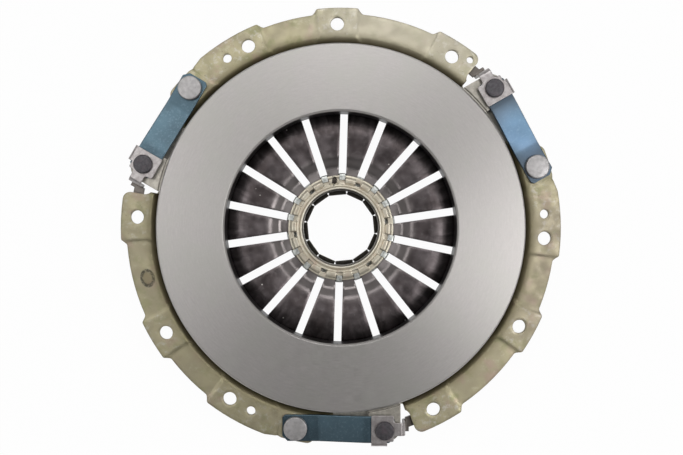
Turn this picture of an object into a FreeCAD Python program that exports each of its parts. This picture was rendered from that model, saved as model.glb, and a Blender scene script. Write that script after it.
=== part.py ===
import FreeCAD, Part
import math
import os

# Pull-type diaphragm-spring clutch cover assembly, nominal size 240 mm, in mm.
# It lies on its back with the friction face up. Z = 0 is the plane of the cover's bolt pads,
# where it meets the flywheel, and the origin is the centre of the bolt circle.
# The assembly repeats three times round the axis. Angles are in degrees, anticlockwise from +X.

# Layout
sectors = 3
pitch = 360.0 / sectors

# Pressure plate: cast iron ring with a ground friction face
plate_r = 120.0
plate_bore_r = 75.5
plate_thickness = 16.2
plate_stand = 10.0          # friction face above the pads, held at the stops
bore_chamfer = 1.2
rim_chamfer = 0.8
ridge_r = 92.0              # fulcrum ridge that bears on the spring
ridge_width = 5.0
ridge_gap_count = 12
ridge_nose = 1.0            # how far its crest is narrowed and rounded
ridge_gap_width = 6.0
pocket_margin = 5.5         # from the ridge and from the rim to the cooling pockets
pocket_depth = 3.0
rib_count = 18
rib_width = 5.0

# Strap lugs of the plate, seen along the strap (fore and aft) and across it (out)
lug_thickness = 11.5
lug_drop = 4.0              # friction face down to the lug face
lug_aft = 10.4
lug_fore = 10.5
lug_out = 8.0
lug_root = 22.0             # how far the lug runs back into the plate
lug_corner = 9.0
lug_foot_aft = 33.6         # low foot of the lug, along the rim under the strap
lug_foot_out = -6.5
lug_foot_drop = 9.0         # friction face down to the top of the foot
lug_foot_round = 3.0
lug_groove = 2.0
lug_groove_depth = 0.8

# Cover: pressed steel sheet
cover_sheet = 4.0
cover_depth = 27.3          # pads to the outer face of the back
lip_depth = 3.0             # turned lip below the back, round the rear opening
rim_gap = 3.0               # plate's rim to the wall
wall_taper = 3.0
bolt_offset = 11.5          # wall line to bolt circle
pad_edge = 10.5             # bolt circle to the edge of a pad
zone_edge = 7.0             # bolt circle to the edge between pads
zone_drop = 1.5             # how far the flange lies below the pads
ledge_edge = 8.9            # bolt circle to the edge of a strap ledge
ledge_rise = 1.2            # strap ledge above the pads
flange_bend = 2.5           # inside bend radii of the sheet
foot_bend = 4.0
lip_bend = 2.0
rear_opening_r = 84.0
flank_width = 1.3           # slant of the outline beside a pad, in degrees
ledge_flank = 3.2           # the same beside a strap ledge
flank_round = 2.5
notch_round = 5.0
notch_floor_round = 4.5
bolt_hole_r = 4.5
dowel_hole_r = 3.0
gauge_hole_r = 2.3
gauge_hole_offset = 5.1     # bolt circle to the single small gauge hole
window_foot = 15.0          # pads down to the lower edge of a lug window
window_round = 4.0

# Angles within one sector
bolt_angles = (57.0, 91.0, 117.0)
pad_before = (6.7, 5.5, 4.5)
pad_after = (6.2, 5.3, 15.5)
pad_outline_after = 12.6    # where the outline of the last pad starts to run in
dowel_angle = 123.85
gauge_angle = 52.4
cover_rivet_angle = 17.25
plate_rivet_angle = 42.2
window_from = 22.8          # notch in the flange
window_to = 50.3
wall_window_from = 26.5     # opening in the wall below it
wall_window_to = 49.4

# Diaphragm spring and its pivot ring
spring_sheet = 2.8
spring_foot_gap = 3.0       # spring's rim to the foot of the wall
pivot_edge = 2.0            # spring's rim to the pivot circle
pivot_wire_r = 2.0
pivot_gap = 0.05            # wire to spring at rest
cone_slope = 0.2            # rise per mm towards the centre
crown_r = 64.0              # where the fingers arch over
knee_r = 47.0
foot_r = 41.0
tip_r = 28.0
tip_drop = 5.3              # crown corner down to the finger tips
knee_rise = 3.5
crown_round = 45.0
knee_round = 10.0
foot_round = 6.0
finger_count = 18
slot_width = 5.0
slot_root_r = 80.0
slot_angle = 8.3

# Drive straps: three packs of blued spring-steel leaves
leaf_count = 3
leaf_sheet = 0.8
strap_half_width = 8.5
strap_end = 8.6             # rivet centre to the end of the strap
strap_fore_end = 6.4        # the same beyond the dark rivet
strap_corner = 3.4
strap_inner_corner = 1.7
strap_bend_gap = 2.0
strap_bend_round = 20.0
ledge_step = 2.2            # strap's end to the step of its ledge

# Rivets
shank_r = 4.0
shank_play = 0.2
cover_head_r = 7.75
cover_head_height = 3.2
cover_tail_r = 4.8
plate_head_r = 6.05
plate_head_height = 2.5
plate_tail_r = 5.5
tail_height = 2.0
head_edge = 0.8

# Stop clips, under the dark rivets
clip_sheet = 1.6
clip_corner = 1.0
clip_neck_round = 1.8       # where the arm leaves the plate
clip_aft = 8.6
clip_fore = 5.9
clip_in = 9.5
clip_out = 7.3
clip_side_gap = 0.5
skirt_bend = 0.4
clip_skirt_fore = 1.7
clip_skirt_depth = 6.0
arm_in = 4.8
arm_out = 3.5
arm_side_gap = 1.5
arm_bend = 1.5
tongue_half_width = 3.4
tongue_length = 5.9
tongue_out = -2.5
tongue_skew = 19.6
stop_gap = 0.2

# Release ring on the finger tips
collar_r = 35.2
collar_flange = 1.9
shoulder_r = 33.8
shoulder_flat_r = 32.5
groove_outer_r = 29.3
groove_inner_r = 28.0
rim_outer_r = 26.9
collar_bore_r = 26.0
seat_bore_r = 25.5
shoulder_height = 4.1
shoulder_step = 0.8
groove_height = 3.1
rim_height = 4.9
neck_gap = 0.5
neck_length = 13.0
seat_length = 8.5
window_width = 4.4
window_inner_r = 29.6
notch_width = 3.2           # through notch in each window without a tab
notch_length = 2.2

# Tab ring under the fingers, folded up through the slots over the collar
tab_sheet = 1.2
tab_width = 3.8
tab_gap = 0.2
tab_bend = 0.2              # inside radius of the fold
tab_reach = 4.6
tab_ring_width = 7.0
tab_pattern = (1, 2)        # of each three slots, those that hold a tab

# Release bearing retainer and its snap ring, inside the collar
retainer_sheet = 0.9
petal_count = 12
petal_gap = 0.3
petal_root_hole_r = 0.55
petal_angle = 20.5
petal_inner_r = 22.2
petal_flat_r = 22.0         # their straight inner edges
petal_base_r = 24.4
petal_drop = 4.0
snap_wire_r = 0.6

# Sizes that follow from those above
wall_top_r = plate_r + rim_gap
wall_foot_r = wall_top_r - wall_taper
bolt_circle_r = wall_top_r + bolt_offset
blank_r = bolt_circle_r + pad_edge
back_inner_z = cover_sheet - cover_depth
spring_r = wall_foot_r - spring_foot_gap
pivot_r = spring_r - pivot_edge
cone_cos = 1.0 / math.hypot(1.0, cone_slope)
wire_z = back_inner_z + pivot_wire_r
spring_pivot_z = wire_z + (pivot_wire_r + spring_sheet) / cone_cos + pivot_gap
friction_z = plate_stand
plate_back_z = friction_z - plate_thickness
lug_z = friction_z - lug_drop
stack = leaf_count * leaf_sheet
clip_top_z = lug_z + stack + clip_sheet
strap_angle = (cover_rivet_angle + plate_rivet_angle) / 2
strap_length = 2 * bolt_circle_r * math.sin(math.radians(plate_rivet_angle - cover_rivet_angle) / 2)
press_depth = cover_depth / 3       # how far down a pressed pad or ledge changes the wall
tolerance = 0.01
Z = FreeCAD.Vector(0, 0, 1)
ORIGIN = FreeCAD.Vector(0, 0, 0)


def spring_top(r):
    """Height of the spring's upper face on its cone."""
    return spring_pivot_z + cone_slope * (pivot_r - r)


tip_z = spring_top(crown_r) - tip_drop


def polar(r, angle, across=0.0, z=0.0):
    """Point at a radius and angle, moved across the radius, anticlockwise."""
    c, s = math.cos(math.radians(angle)), math.sin(math.radians(angle))
    return FreeCAD.Vector(r * c - across * s, r * s + across * c, z)


def offset_line(line, distance):
    """A bent line of (x, z, bend radius) moved to its left; the bends stay concentric."""
    moved = []
    for i, (x, z, radius) in enumerate(line):
        before = line[max(i - 1, 0)]
        after = line[min(i + 1, len(line) - 1)]
        a = FreeCAD.Vector(x - before[0], 0, z - before[1])
        b = FreeCAD.Vector(after[0] - x, 0, after[1] - z)
        a = a.normalize() if a.Length else FreeCAD.Vector(b).normalize()
        b = b.normalize() if b.Length else FreeCAD.Vector(a)
        left_a, left_b = FreeCAD.Vector(-a.z, 0, a.x), FreeCAD.Vector(-b.z, 0, b.x)
        shift = (left_a + left_b) * (distance / (1 + left_a.dot(left_b)))
        turn = 1 if a.x * b.z - a.z * b.x > 0 else -1
        moved.append((x + shift.x, z + shift.z, radius - turn * distance if radius else 0))
    return moved


def line_edges(line):
    """Straight runs joined by tangent arcs, in the XZ plane."""
    points = [FreeCAD.Vector(x, 0, z) for x, z, radius in line]
    edges, start = [], points[0]
    for i in range(1, len(points) - 1):
        corner, radius = points[i], line[i][2]
        a = (corner - points[i - 1]).normalize()
        b = (points[i + 1] - corner).normalize()
        if not radius:
            edges.append(Part.LineSegment(start, corner).toShape())
            start = corner
            continue
        length = radius * math.tan(a.getAngle(b) / 2)
        first, last = corner - a * length, corner + b * length
        centre = corner + (b - a).normalize() * math.hypot(radius, length)
        middle = centre + (corner - centre).normalize() * radius
        edges.append(Part.LineSegment(start, first).toShape())
        edges.append(Part.Arc(first, middle, last).toShape())
        start = last
    edges.append(Part.LineSegment(start, points[-1]).toShape())
    return edges


def sheet_face(line, thickness):
    """Section of a bent sheet whose one face is the line; positive thickness is to its left."""
    other = offset_line(line, thickness)
    ends = [
        Part.LineSegment(FreeCAD.Vector(p[0], 0, p[1]), FreeCAD.Vector(q[0], 0, q[1])).toShape()
        for p, q in ((line[0], other[0]), (line[-1], other[-1]))
    ]
    edges = line_edges(line) + line_edges(other) + ends
    return Part.Face(Part.Wire(Part.__sortEdges__(edges)))


def section(points):
    """Flat face with corners at (x, z), in the XZ plane."""
    corners = [FreeCAD.Vector(x, 0, z) for x, z in points]
    return Part.Face(Part.makePolygon(corners + corners[:1]))


def spun(face):
    """Ring turned from a section."""
    return face.revolve(ORIGIN, Z, 360)


def slab(corners, z_low, z_high):
    """Straight-sided block on corners given as (x, y)."""
    points = [FreeCAD.Vector(x, y, z_low) for x, y in corners]
    return Part.Face(Part.makePolygon(points + points[:1])).extrude(Z * (z_high - z_low))


def spoke(r_from, r_to, width, z_low, z_high):
    """Straight block that runs out along X."""
    half = width / 2
    return slab(((r_from, -half), (r_to, -half), (r_to, half), (r_from, half)), z_low, z_high)


def tube(r_in, r_out, z_low, z_high):
    """Plain ring round the axis."""
    return spun(section([(r_in, z_low), (r_out, z_low), (r_out, z_high), (r_in, z_high)]))


def frustum(low, high):
    """Block between two four-cornered faces, listed anticlockwise."""
    faces = [low[::-1], high]
    faces += [[low[i], low[(i + 1) % 4], high[(i + 1) % 4], high[i]] for i in range(4)]
    shell = Part.Shell([Part.Face(Part.makePolygon(f + f[:1])) for f in faces])
    return Part.Solid(shell)


def rounded(block, corners, radius):
    """Rounds the upright edges of a block at the given corners, each (x, y)."""
    chosen = []
    for edge in block.Edges:
        box = edge.BoundBox
        upright = box.XLength < tolerance and box.YLength < tolerance and box.ZLength > tolerance
        if upright and any(math.hypot(box.XMin - x, box.YMin - y) < tolerance for x, y in corners):
            chosen.append(edge)
    return block.makeFillet(radius, chosen)


def turned(shape, angle):
    """Copy turned about the axis."""
    copy = shape.copy()
    copy.rotate(ORIGIN, Z, angle)
    return copy


def round_pattern(shape, count=sectors, start=0.0):
    """Copies evenly round the axis."""
    return [turned(shape, start + 360.0 * i / count) for i in range(count)]


def at_rivet(shape, rivet_angle):
    """Moves a shape made round a strap rivet, X out across the strap and Y along it, to its place."""
    copy = turned(shape, strap_angle)
    copy.translate(polar(bolt_circle_r, rivet_angle))
    return copy


def upright_hole(r, radius, angle):
    """Cutter for a hole through the flange."""
    reach = cover_depth
    return Part.makeCylinder(radius, 2 * reach, polar(r, angle, 0, -reach))


def sheet_block(line, thickness, width_from, width_to):
    """Bent sheet whose line runs along Y and up Z, and whose width is along X."""
    block = sheet_face(line, thickness).extrude(FreeCAD.Vector(0, width_to - width_from, 0))
    block.translate(FreeCAD.Vector(0, width_from, 0))
    block.rotate(ORIGIN, Z, 90)
    return block.mirror(ORIGIN, FreeCAD.Vector(1, 0, 0))


def flange_blank(rise):
    """Whole cover as one spun sheet, its flange lifted above the level between the pads."""
    level = rise - zone_drop
    lean = wall_taper / (-zone_drop - back_inner_z)
    line = [
        (blank_r + pad_edge, level, 0),
        (wall_top_r + lean * rise, level, flange_bend + cover_sheet),
        (wall_foot_r, back_inner_z, foot_bend),
        (rear_opening_r, back_inner_z, lip_bend + cover_sheet),
        (rear_opening_r, back_inner_z - cover_sheet - lip_depth, 0),
    ]
    return spun(sheet_face(line, cover_sheet))


def lifted(body, rise, zones):
    """Replaces the flange inside the zones by one that is pressed up."""
    raised = flange_blank(rise).common(Part.makeCompound(zones))
    return body.cut(Part.makeCompound(zones)).fuse(raised)


def pad_zone(angle_from, angle_to):
    """Space over one pad; its sides slant by 45 degrees, so that the pad's flanks do."""
    r_in, r_out = plate_r - wall_taper, blank_r + pad_edge
    ring = (
        (r_in, angle_from, 1),
        (r_out, angle_from, 1),
        (r_out, angle_to, -1),
        (r_in, angle_to, -1),
    )
    low = [polar(r, a, -side * press_depth, -press_depth) for r, a, side in ring]
    high = [polar(r, a, side * ledge_rise, ledge_rise) for r, a, side in ring]
    return frustum(low, high)


def ledge_zone():
    """Space over one strap ledge, square to its strap, with one slanting side."""
    edge = -strap_end - ledge_step
    reach = strap_length / 2
    faces = []
    for z in (-press_depth, press_depth):
        plan = ((-reach, edge + z), (reach, edge + z), (reach, reach), (-reach, reach))
        faces.append([FreeCAD.Vector(x, y, z) for x, y in plan])
    return at_rivet(frustum(*faces), cover_rivet_angle)


def cover_outline():
    """Plan of the blank: pads, ledges and the flange between them, with notches at the windows."""
    starts = [a - b for a, b in zip(bolt_angles, pad_before)]
    ends = [a + b for a, b in zip(bolt_angles, pad_after)]
    zone_r, ledge_r = bolt_circle_r + zone_edge, bolt_circle_r + ledge_edge
    steps = []
    for k in range(sectors):
        base = k * pitch
        steps += [
            (base + window_to, base + ends[0], blank_r),
            (base + ends[0] + flank_width, base + starts[1] - flank_width, zone_r),
            (base + starts[1], base + ends[1], blank_r),
            (base + ends[1] + flank_width, base + starts[2] - flank_width, zone_r),
            (base + starts[2], base + bolt_angles[2] + pad_outline_after, blank_r),
            (base + bolt_angles[2] + pad_outline_after + ledge_flank, base + pitch + window_from, ledge_r),
            (base + pitch + window_from, base + pitch + window_to, wall_top_r + cover_sheet),
        ]
    edges = []
    for i, (angle_from, angle_to, r) in enumerate(steps):
        middle = polar(r, (angle_from + angle_to) / 2)
        edges.append(Part.Arc(polar(r, angle_from), middle, polar(r, angle_to)).toShape())
        follow = steps[(i + 1) % len(steps)]
        edges.append(Part.LineSegment(polar(r, angle_to), polar(follow[2], follow[0])).toShape())
    face = Part.Face(Part.Wire(Part.__sortEdges__(edges)))
    prism = face.extrude(Z * (2 * cover_depth + press_depth))
    prism.translate(Z * -2 * cover_depth)
    rounds = ((True, True, notch_round), (True, False, notch_floor_round), (False, True, flank_round))
    for at_window, at_edge, radius in rounds:
        chosen = []
        for edge in prism.Edges:
            ends_of = [v.Point for v in edge.Vertexes]
            if len(ends_of) < 2 or abs(ends_of[0].z - ends_of[1].z) < cover_depth:
                continue
            angle = math.degrees(math.atan2(ends_of[0].y, ends_of[0].x)) % pitch
            r = math.hypot(ends_of[0].x, ends_of[0].y)
            near = min(abs(angle - window_from), abs(angle - window_to)) < tolerance
            if near == at_window and (r > wall_top_r + 2 * cover_sheet) == at_edge:
                chosen.append(edge)
        prism = prism.makeFillet(radius, chosen)
    return prism


def lug_window():
    """Cutter for the opening in the wall through which a lug passes."""
    r_in, r_out = plate_bore_r, blank_r + pad_edge
    ring = (
        (r_in, wall_window_from),
        (r_out, wall_window_from),
        (r_out, wall_window_to),
        (r_in, wall_window_to),
    )
    block = slab([tuple(polar(r, a))[:2] for r, a in ring], -window_foot, cover_depth)
    length = r_out - r_in
    foot = [e for e in block.Edges if e.BoundBox.ZMax < tolerance - window_foot]
    return block.makeFillet(window_round, [e for e in foot if abs(e.Length - length) < tolerance])


def make_cover():
    """Pressed cover: flange with raised pads and ledges, wall, back, windows and holes."""
    pads = [(a - b, a + c) for a, b, c in zip(bolt_angles, pad_before, pad_after)]
    zones = [turned(pad_zone(a, b), pitch * k) for a, b in pads for k in range(sectors)]
    body = lifted(flange_blank(0), zone_drop, zones)
    body = lifted(body, zone_drop + ledge_rise, round_pattern(ledge_zone()))
    body = body.common(cover_outline())
    holes = [upright_hole(bolt_circle_r, bolt_hole_r, a) for a in bolt_angles]
    holes.append(upright_hole(bolt_circle_r, dowel_hole_r, dowel_angle))
    holes.append(upright_hole(bolt_circle_r, shank_r, cover_rivet_angle))
    holes.append(lug_window())
    cutters = [turned(h, pitch * k) for h in holes for k in range(sectors)]
    cutters.append(upright_hole(bolt_circle_r + gauge_hole_offset, gauge_hole_r, gauge_angle))
    return body.cut(Part.makeCompound(cutters)).removeSplitter()


def make_plate():
    """Cast ring with friction face, lugs, fulcrum ridge and cooling pockets on its back."""
    ridge_z = spring_top(ridge_r) + stop_gap
    half = ridge_width / 2
    nose = half - ridge_nose
    ring = spun(section([
        (plate_bore_r, plate_back_z),
        (ridge_r - half, plate_back_z),
        (ridge_r - nose, ridge_z + ridge_nose),
        (ridge_r - nose / 2, ridge_z),
        (ridge_r + nose / 2, ridge_z),
        (ridge_r + nose, ridge_z + ridge_nose),
        (ridge_r + half, plate_back_z),
        (plate_r, plate_back_z),
        (plate_r, friction_z - rim_chamfer),
        (plate_r - rim_chamfer, friction_z),
        (plate_bore_r + bore_chamfer, friction_z),
        (plate_bore_r, friction_z - bore_chamfer),
    ]))
    plan = (
        (-lug_root, -lug_aft),
        (lug_out, -lug_aft),
        (lug_out, lug_fore),
        (-lug_root, lug_fore),
    )
    lug = rounded(slab(plan, lug_z - lug_thickness, lug_z), plan[1:3], lug_corner)
    plan = (
        (-lug_root, -lug_foot_aft),
        (lug_foot_out, -lug_foot_aft),
        (lug_foot_out, 0),
        (-lug_root, 0),
    )
    foot = slab(plan, lug_z - lug_thickness, friction_z - lug_foot_drop)
    lug = lug.fuse(rounded(foot, plan[1:2], lug_foot_round))
    lug = at_rivet(lug, plate_rivet_angle)
    body = ring.fuse(round_pattern(lug))
    pocket_z = plate_back_z + pocket_depth
    pockets = tube(ridge_r + pocket_margin, plate_r - pocket_margin, plate_back_z, pocket_z)
    rib = spoke(ridge_r, plate_r, rib_width, plate_back_z, pocket_z)
    pockets = pockets.cut(Part.makeCompound(round_pattern(rib, rib_count, slot_angle)))
    gap = spoke(plate_bore_r, ridge_r + ridge_width, ridge_gap_width, ridge_z, plate_back_z)
    groove = tube(plate_r, plate_r + lug_groove, lug_z - lug_groove_depth, lug_z)
    hole = upright_hole(bolt_circle_r, shank_r, plate_rivet_angle)
    cutters = [pockets, groove] + round_pattern(gap, ridge_gap_count) + round_pattern(hole)
    return body.cut(Part.makeCompound(cutters)).removeSplitter()


def make_spring():
    """Conical spring of one sheet; slots part it into fingers that arch over and step down."""
    line = [
        (spring_r, spring_top(spring_r), 0),
        (crown_r, spring_top(crown_r), crown_round),
        (knee_r, tip_z + knee_rise, knee_round),
        (foot_r, tip_z, foot_round),
        (tip_r, tip_z, 0),
    ]
    body = spun(sheet_face(line, spring_sheet))
    slot = spoke(0, slot_root_r, slot_width, back_inner_z, friction_z)
    root = FreeCAD.Vector(slot_root_r, 0, back_inner_z)
    slot = slot.fuse(Part.makeCylinder(slot_width / 2, friction_z - back_inner_z, root))
    return body.cut(Part.makeCompound(round_pattern(slot, finger_count, slot_angle)))


def make_pivot_ring():
    """Wire ring between the spring's rim and the cover's back."""
    return Part.makeTorus(pivot_r, pivot_wire_r, FreeCAD.Vector(0, 0, wire_z))


def make_leaf(number):
    """One strap leaf: flat on the ledge, stepped up between the rivets, flat on the lug."""
    ledge_run = math.radians(window_from - cover_rivet_angle) * bolt_circle_r
    line = [
        (-strap_end, ledge_rise, 0),
        (ledge_run + strap_bend_gap, ledge_rise, strap_bend_round),
        (strap_length - lug_aft - strap_bend_gap, lug_z, strap_bend_round + stack),
        (strap_length + strap_fore_end, lug_z, 0),
    ]
    lower = offset_line(line, number * leaf_sheet)
    leaf = sheet_block(lower, leaf_sheet, -strap_half_width, strap_half_width)
    w, cut, inner_cut = strap_half_width, strap_corner, strap_inner_corner
    y0, y1 = -strap_end, strap_length + strap_fore_end
    plan = (
        (-w, y0 + inner_cut),
        (-w + inner_cut, y0),
        (w - cut, y0),
        (w, y0 + cut),
        (w, y1 - cut),
        (w - cut, y1),
        (-w + inner_cut, y1),
        (-w, y1 - inner_cut),
    )
    leaf = leaf.common(slab(plan, 0, clip_top_z))
    holes = [
        Part.makeCylinder(shank_r, clip_top_z),
        Part.makeCylinder(shank_r + shank_play, clip_top_z, FreeCAD.Vector(0, strap_length, 0)),
    ]
    return at_rivet(leaf.cut(Part.makeCompound(holes)), cover_rivet_angle)


def rivet(head_r, head_height, tail_r, head_z, tail_z):
    """Rivet on its axis: low domed head, shank, and a formed tail below what it holds."""
    line = section([
        (0, tail_z - tail_height),
        (tail_r - head_edge, tail_z - tail_height),
        (tail_r, tail_z - tail_height + head_edge),
        (tail_r, tail_z),
        (shank_r, tail_z),
        (shank_r, head_z),
        (head_r, head_z),
        (head_r, head_z + head_height - head_edge),
        (head_r - head_edge, head_z + head_height),
        (0, head_z + head_height),
    ])
    return spun(line)


def make_clip():
    """Stop clip: plate under the rivet head, skirt over the strap's edge, arm and tongue."""
    low = clip_top_z - clip_sheet
    plan = (
        (-clip_in, -clip_aft),
        (-clip_in, clip_fore),
        (clip_out, clip_fore),
        (clip_out, -clip_aft),
    )
    plate = rounded(slab(plan, low, clip_top_z), plan[:3], clip_corner)
    skirt_x = strap_half_width + clip_side_gap + clip_sheet
    skirt_line = [
        (0, clip_top_z, 0),
        (skirt_x, clip_top_z, skirt_bend + clip_sheet),
        (skirt_x, clip_top_z - clip_skirt_depth, 0),
    ]
    skirt = sheet_face(skirt_line, -clip_sheet).extrude(FreeCAD.Vector(0, clip_aft + clip_skirt_fore, 0))
    skirt.translate(FreeCAD.Vector(0, -clip_aft, 0))
    arm_y = lug_fore + arm_side_gap + clip_sheet
    tongue_z = -cover_sheet - stop_gap
    arm_line = [
        (0, clip_top_z, 0),
        (arm_y, clip_top_z, arm_bend + clip_sheet),
        (arm_y, tongue_z, arm_bend),
        (arm_y + arm_bend + clip_sheet, tongue_z, 0),
    ]
    arm = sheet_block(arm_line, -clip_sheet, -arm_in, arm_out)
    tongue = slab(
        ((-tongue_half_width, 0), (tongue_half_width, 0),
         (tongue_half_width, tongue_length), (-tongue_half_width, tongue_length)),
        tongue_z - clip_sheet, tongue_z)
    tongue.rotate(ORIGIN, Z, tongue_skew)
    tongue.translate(FreeCAD.Vector(tongue_out, arm_y + arm_bend, 0))
    body = plate.fuse([skirt, arm, tongue]).cut(Part.makeCylinder(shank_r, clip_top_z)).removeSplitter()
    neck = ((-arm_in, clip_fore), (arm_out, clip_fore))
    return at_rivet(rounded(body, neck, clip_neck_round), plate_rivet_angle)


def make_collar():
    """Turned collar on the finger tips, with a neck that takes the release bearing."""
    neck_r = tip_r - neck_gap
    neck_z = tip_z - neck_length
    body = spun(section([
        (seat_bore_r, neck_z),
        (neck_r, neck_z),
        (neck_r, tip_z),
        (collar_r, tip_z),
        (collar_r, tip_z + collar_flange),
        (shoulder_r, tip_z + collar_flange),
        (shoulder_r, tip_z + shoulder_height - shoulder_step),
        (shoulder_flat_r, tip_z + shoulder_height),
        (groove_outer_r + shoulder_step, tip_z + shoulder_height),
        (groove_outer_r, tip_z + groove_height),
        (groove_inner_r, tip_z + groove_height),
        (rim_outer_r, tip_z + rim_height),
        (collar_bore_r, tip_z + rim_height),
        (collar_bore_r, neck_z + seat_length),
        (seat_bore_r, neck_z + seat_length),
    ]))
    window = spoke(window_inner_r, collar_r, window_width, tip_z + collar_flange, tip_z + rim_height)
    notch = spoke(window_inner_r, window_inner_r + notch_length, notch_width, tip_z, tip_z + rim_height)
    cutters = round_pattern(window, finger_count, slot_angle)
    cutters += round_pattern(notch, finger_count // 3, slot_angle)
    return body.cut(Part.makeCompound(cutters))


def make_tab_ring():
    """Ring under the fingers; its tabs rise through slots and fold in over the collar's flange."""
    under = tip_z - spring_sheet - tab_gap
    tab_r = collar_r + tab_gap + tab_sheet
    ring = tube(tab_r - tab_ring_width, tab_r, under - tab_sheet, under)
    over = tip_z + collar_flange
    line = [
        (tab_r, under - tab_sheet, 0),
        (tab_r, over + tab_sheet, tab_sheet + tab_bend),
        (tab_r - tab_reach, over + tab_sheet, 0),
    ]
    tab = sheet_face(line, tab_sheet).extrude(FreeCAD.Vector(0, tab_width, 0))
    tab.translate(FreeCAD.Vector(0, -tab_width / 2, 0))
    step = 360.0 / finger_count
    angles = [slot_angle + step * (3 * i + j) for i in range(finger_count // 3) for j in tab_pattern]
    return ring.fuse([turned(tab, a) for a in angles])


def make_retainer():
    """Spring ring whose petals lean in under the release bearing's groove."""
    base_z = tip_z - neck_length + seat_length
    top = base_z + retainer_sheet + petal_drop
    line = [
        (collar_bore_r, base_z + retainer_sheet, 0),
        (petal_base_r, base_z + retainer_sheet, retainer_sheet),
        (petal_inner_r, top, 0),
    ]
    body = spun(sheet_face(line, retainer_sheet))
    gap = spoke(0, petal_base_r, petal_gap, base_z - petal_drop, top + petal_drop)
    root = FreeCAD.Vector(petal_base_r, 0, base_z - petal_drop)
    hole = Part.makeCylinder(petal_root_hole_r, 2 * petal_drop, root)
    corner_r = petal_flat_r / math.cos(math.pi / petal_count)
    corners = [polar(corner_r, petal_angle + 360.0 * i / petal_count) for i in range(petal_count)]
    middle = slab([tuple(p)[:2] for p in corners], base_z, top + petal_drop)
    cutters = round_pattern(gap.fuse(hole), petal_count, petal_angle) + [middle]
    return body.cut(Part.makeCompound(cutters))


def make_snap_ring():
    """Wire ring that holds the retainer down on its seat."""
    z = tip_z - neck_length + seat_length + retainer_sheet + snap_wire_r
    return Part.makeTorus(collar_bore_r - snap_wire_r, snap_wire_r, FreeCAD.Vector(0, 0, z))


def save(name, solids):
    """Writes one piece, or a group of like pieces, to its file."""
    shape = solids[0] if len(solids) == 1 else Part.makeCompound(solids)
    for solid in shape.Solids:
        if not solid.isValid():
            print("not valid:", name)
    print(name, len(shape.Solids), "solids", round(shape.Volume), "mm3")
    shape.exportStep("parts/" + name + ".step")


os.makedirs("parts", exist_ok=True)
save("cover", [make_cover()])
save("pivot_ring", [make_pivot_ring()])
save("diaphragm_spring", [make_spring()])
save("pressure_plate", [make_plate()])
clip = make_clip()
leaves = [make_leaf(i) for i in range(leaf_count)]
for k in range(sectors):
    letter = "abc"[k]
    save("stop_clip_" + letter, [turned(clip, pitch * k)])
    for i in range(leaf_count):
        save("strap_%s_leaf_%d" % (letter, i + 1), [turned(leaves[i], pitch * k)])
cover_grip = (ledge_rise + stack, ledge_rise - cover_sheet)
plate_grip = (clip_top_z, lug_z - lug_thickness)
cover_rivet = rivet(cover_head_r, cover_head_height, cover_tail_r, *cover_grip)
plate_rivet = rivet(plate_head_r, plate_head_height, plate_tail_r, *plate_grip)
save("cover_strap_rivets", round_pattern(at_rivet(cover_rivet, cover_rivet_angle)))
save("plate_strap_rivets", round_pattern(at_rivet(plate_rivet, plate_rivet_angle)))
save("release_collar", [make_collar()])
save("tab_ring", [make_tab_ring()])
save("bearing_retainer", [make_retainer()])
save("snap_ring", [make_snap_ring()])
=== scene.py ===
# Clutch pressure plate: pull-type diaphragm-spring cover assembly, nominal size 240 mm.
# It lies on its back on a white studio floor, friction face up, and is seen from straight above.
# Lengths are in metres; MM turns a size read off the real part into them.
import math

import bmesh
import bpy
from mathutils import Matrix, Vector


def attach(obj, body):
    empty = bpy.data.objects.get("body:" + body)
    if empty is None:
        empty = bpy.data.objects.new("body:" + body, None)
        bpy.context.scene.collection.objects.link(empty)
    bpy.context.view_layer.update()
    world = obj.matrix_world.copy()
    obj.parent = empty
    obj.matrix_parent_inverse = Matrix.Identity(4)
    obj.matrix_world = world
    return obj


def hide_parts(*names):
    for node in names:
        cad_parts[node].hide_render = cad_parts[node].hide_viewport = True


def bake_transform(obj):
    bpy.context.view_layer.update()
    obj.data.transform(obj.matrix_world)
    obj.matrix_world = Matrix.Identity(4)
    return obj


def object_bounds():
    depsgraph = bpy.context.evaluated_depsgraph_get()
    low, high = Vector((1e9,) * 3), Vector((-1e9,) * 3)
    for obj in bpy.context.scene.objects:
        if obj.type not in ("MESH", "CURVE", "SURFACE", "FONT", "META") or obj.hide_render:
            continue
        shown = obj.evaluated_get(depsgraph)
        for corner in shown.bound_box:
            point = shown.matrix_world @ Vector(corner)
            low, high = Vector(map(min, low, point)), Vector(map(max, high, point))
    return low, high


MM = 0.001

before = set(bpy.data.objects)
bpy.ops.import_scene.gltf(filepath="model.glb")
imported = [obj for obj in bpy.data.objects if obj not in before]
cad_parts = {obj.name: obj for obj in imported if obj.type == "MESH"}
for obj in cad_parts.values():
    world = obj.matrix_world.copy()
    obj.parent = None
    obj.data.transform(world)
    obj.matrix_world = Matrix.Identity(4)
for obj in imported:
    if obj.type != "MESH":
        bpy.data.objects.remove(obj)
cad_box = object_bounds()
scene = bpy.context.scene


# Camera: 600 mm above the bolt pads, so that the near friction face shows larger than the
# far back, as it does in the photograph. It stands a little off the clutch axis, because the
# part lies a little off the middle of the picture.
camera_height, off_axis_x, off_axis_y = 600 * MM, 0.46 * MM, 0.13 * MM
camera = bpy.data.objects.new("camera", bpy.data.cameras.new("camera"))
camera.data.sensor_width = 36.0
camera.data.lens = 48.0
camera.location = (off_axis_x, off_axis_y, camera_height)
scene.collection.objects.link(camera)
scene.camera = camera


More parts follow.
